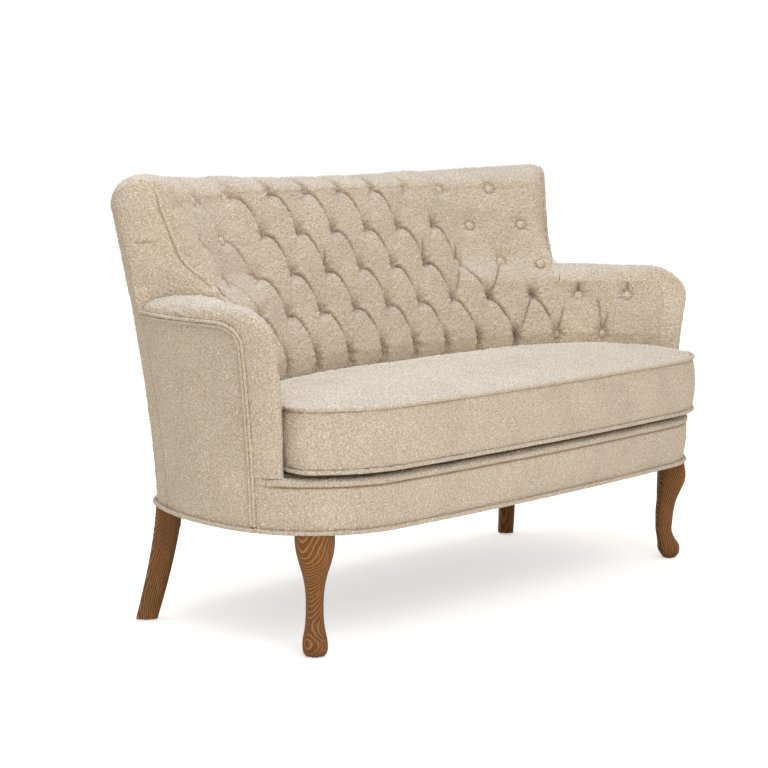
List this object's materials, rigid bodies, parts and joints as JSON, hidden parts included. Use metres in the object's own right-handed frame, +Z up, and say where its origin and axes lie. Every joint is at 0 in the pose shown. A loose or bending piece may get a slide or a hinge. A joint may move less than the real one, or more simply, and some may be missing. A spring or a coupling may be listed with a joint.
{
  "type": "loveseat settee",
  "caption": "Curved settee with a buttoned back and arms, welted edges, a loose bench cushion, carved front legs and raked back legs.",
  "frame": {"origin": "on the floor under the middle of the settee's bounding box", "axes": "+Z up, +X to the right seen from the front, the front faces -Y"},
  "size_m": [1.3988, 0.7085, 0.865],
  "materials": {
    "oak": "limed and brushed, open grain",
    "steel": "zinc plated",
    "beech": "planed, unfinished",
    "plywood": "sawn birch ply",
    "felt": "pressed felt under cloth",
    "lining": "black non-woven",
    "jute": "woven webbing",
    "boucle": "cream looped boucle",
    "boucle_welt": "cream looped boucle over cord",
    "zip_cloth": "woven zip tape"
  },
  "bodies": {
    "settee": {"front_leg_left": "oak", "front_leg_right": "oak", "back_leg_left": "oak", "back_leg_right": "oak", "leg_glides": "steel", "hanger_bolts": "steel", "leg_inserts": "steel", "front_rail": "beech", "back_rail": "beech", "side_rail_left": "beech", "side_rail_right": "beech", "rear_spring_rail": "beech", "center_stretcher": "beech", "corner_blocks": "beech", "back_uprights": "plywood", "top_rail": "plywood", "arm_stumps": "plywood", "arm_rail_left": "plywood", "arm_rail_right": "plywood", "seat_springs": "steel", "spring_clips": "steel", "tie_wires": "steel", "deck_pad": "felt", "dust_cover": "lining", "back_webbing": "jute", "inside_back": "boucle", "inside_arm_left": "boucle", "inside_arm_right": "boucle", "wing_face_left": "boucle", "wing_face_right": "boucle", "back_buttons": "boucle", "arm_buttons": "boucle", "arm_band_left": "boucle", "arm_band_right": "boucle", "outside_back": "boucle", "outside_arm_left": "boucle", "outside_arm_right": "boucle", "front_border": "boucle", "double_welt_left": "boucle_welt", "double_welt_right": "boucle_welt", "base_welt": "boucle_welt"},
    "cushion": {"seat_cushion": "boucle", "cushion_top_welt": "boucle_welt", "cushion_bottom_welt": "boucle_welt", "zip_tape": "zip_cloth"},
    "zip_slider": {"zip_slider": "steel"}
  },
  "joints": [
    {"name": "cushion_lift", "type": "slide", "parent": "settee", "child": "cushion", "axis": [0, 0, 1], "range_m": [0, 0.55]},
    {"name": "zip_slide", "type": "slide", "parent": "cushion", "child": "zip_slider", "axis": [-1, 0, 0], "range_m": [0, 0.4]}
  ]
}
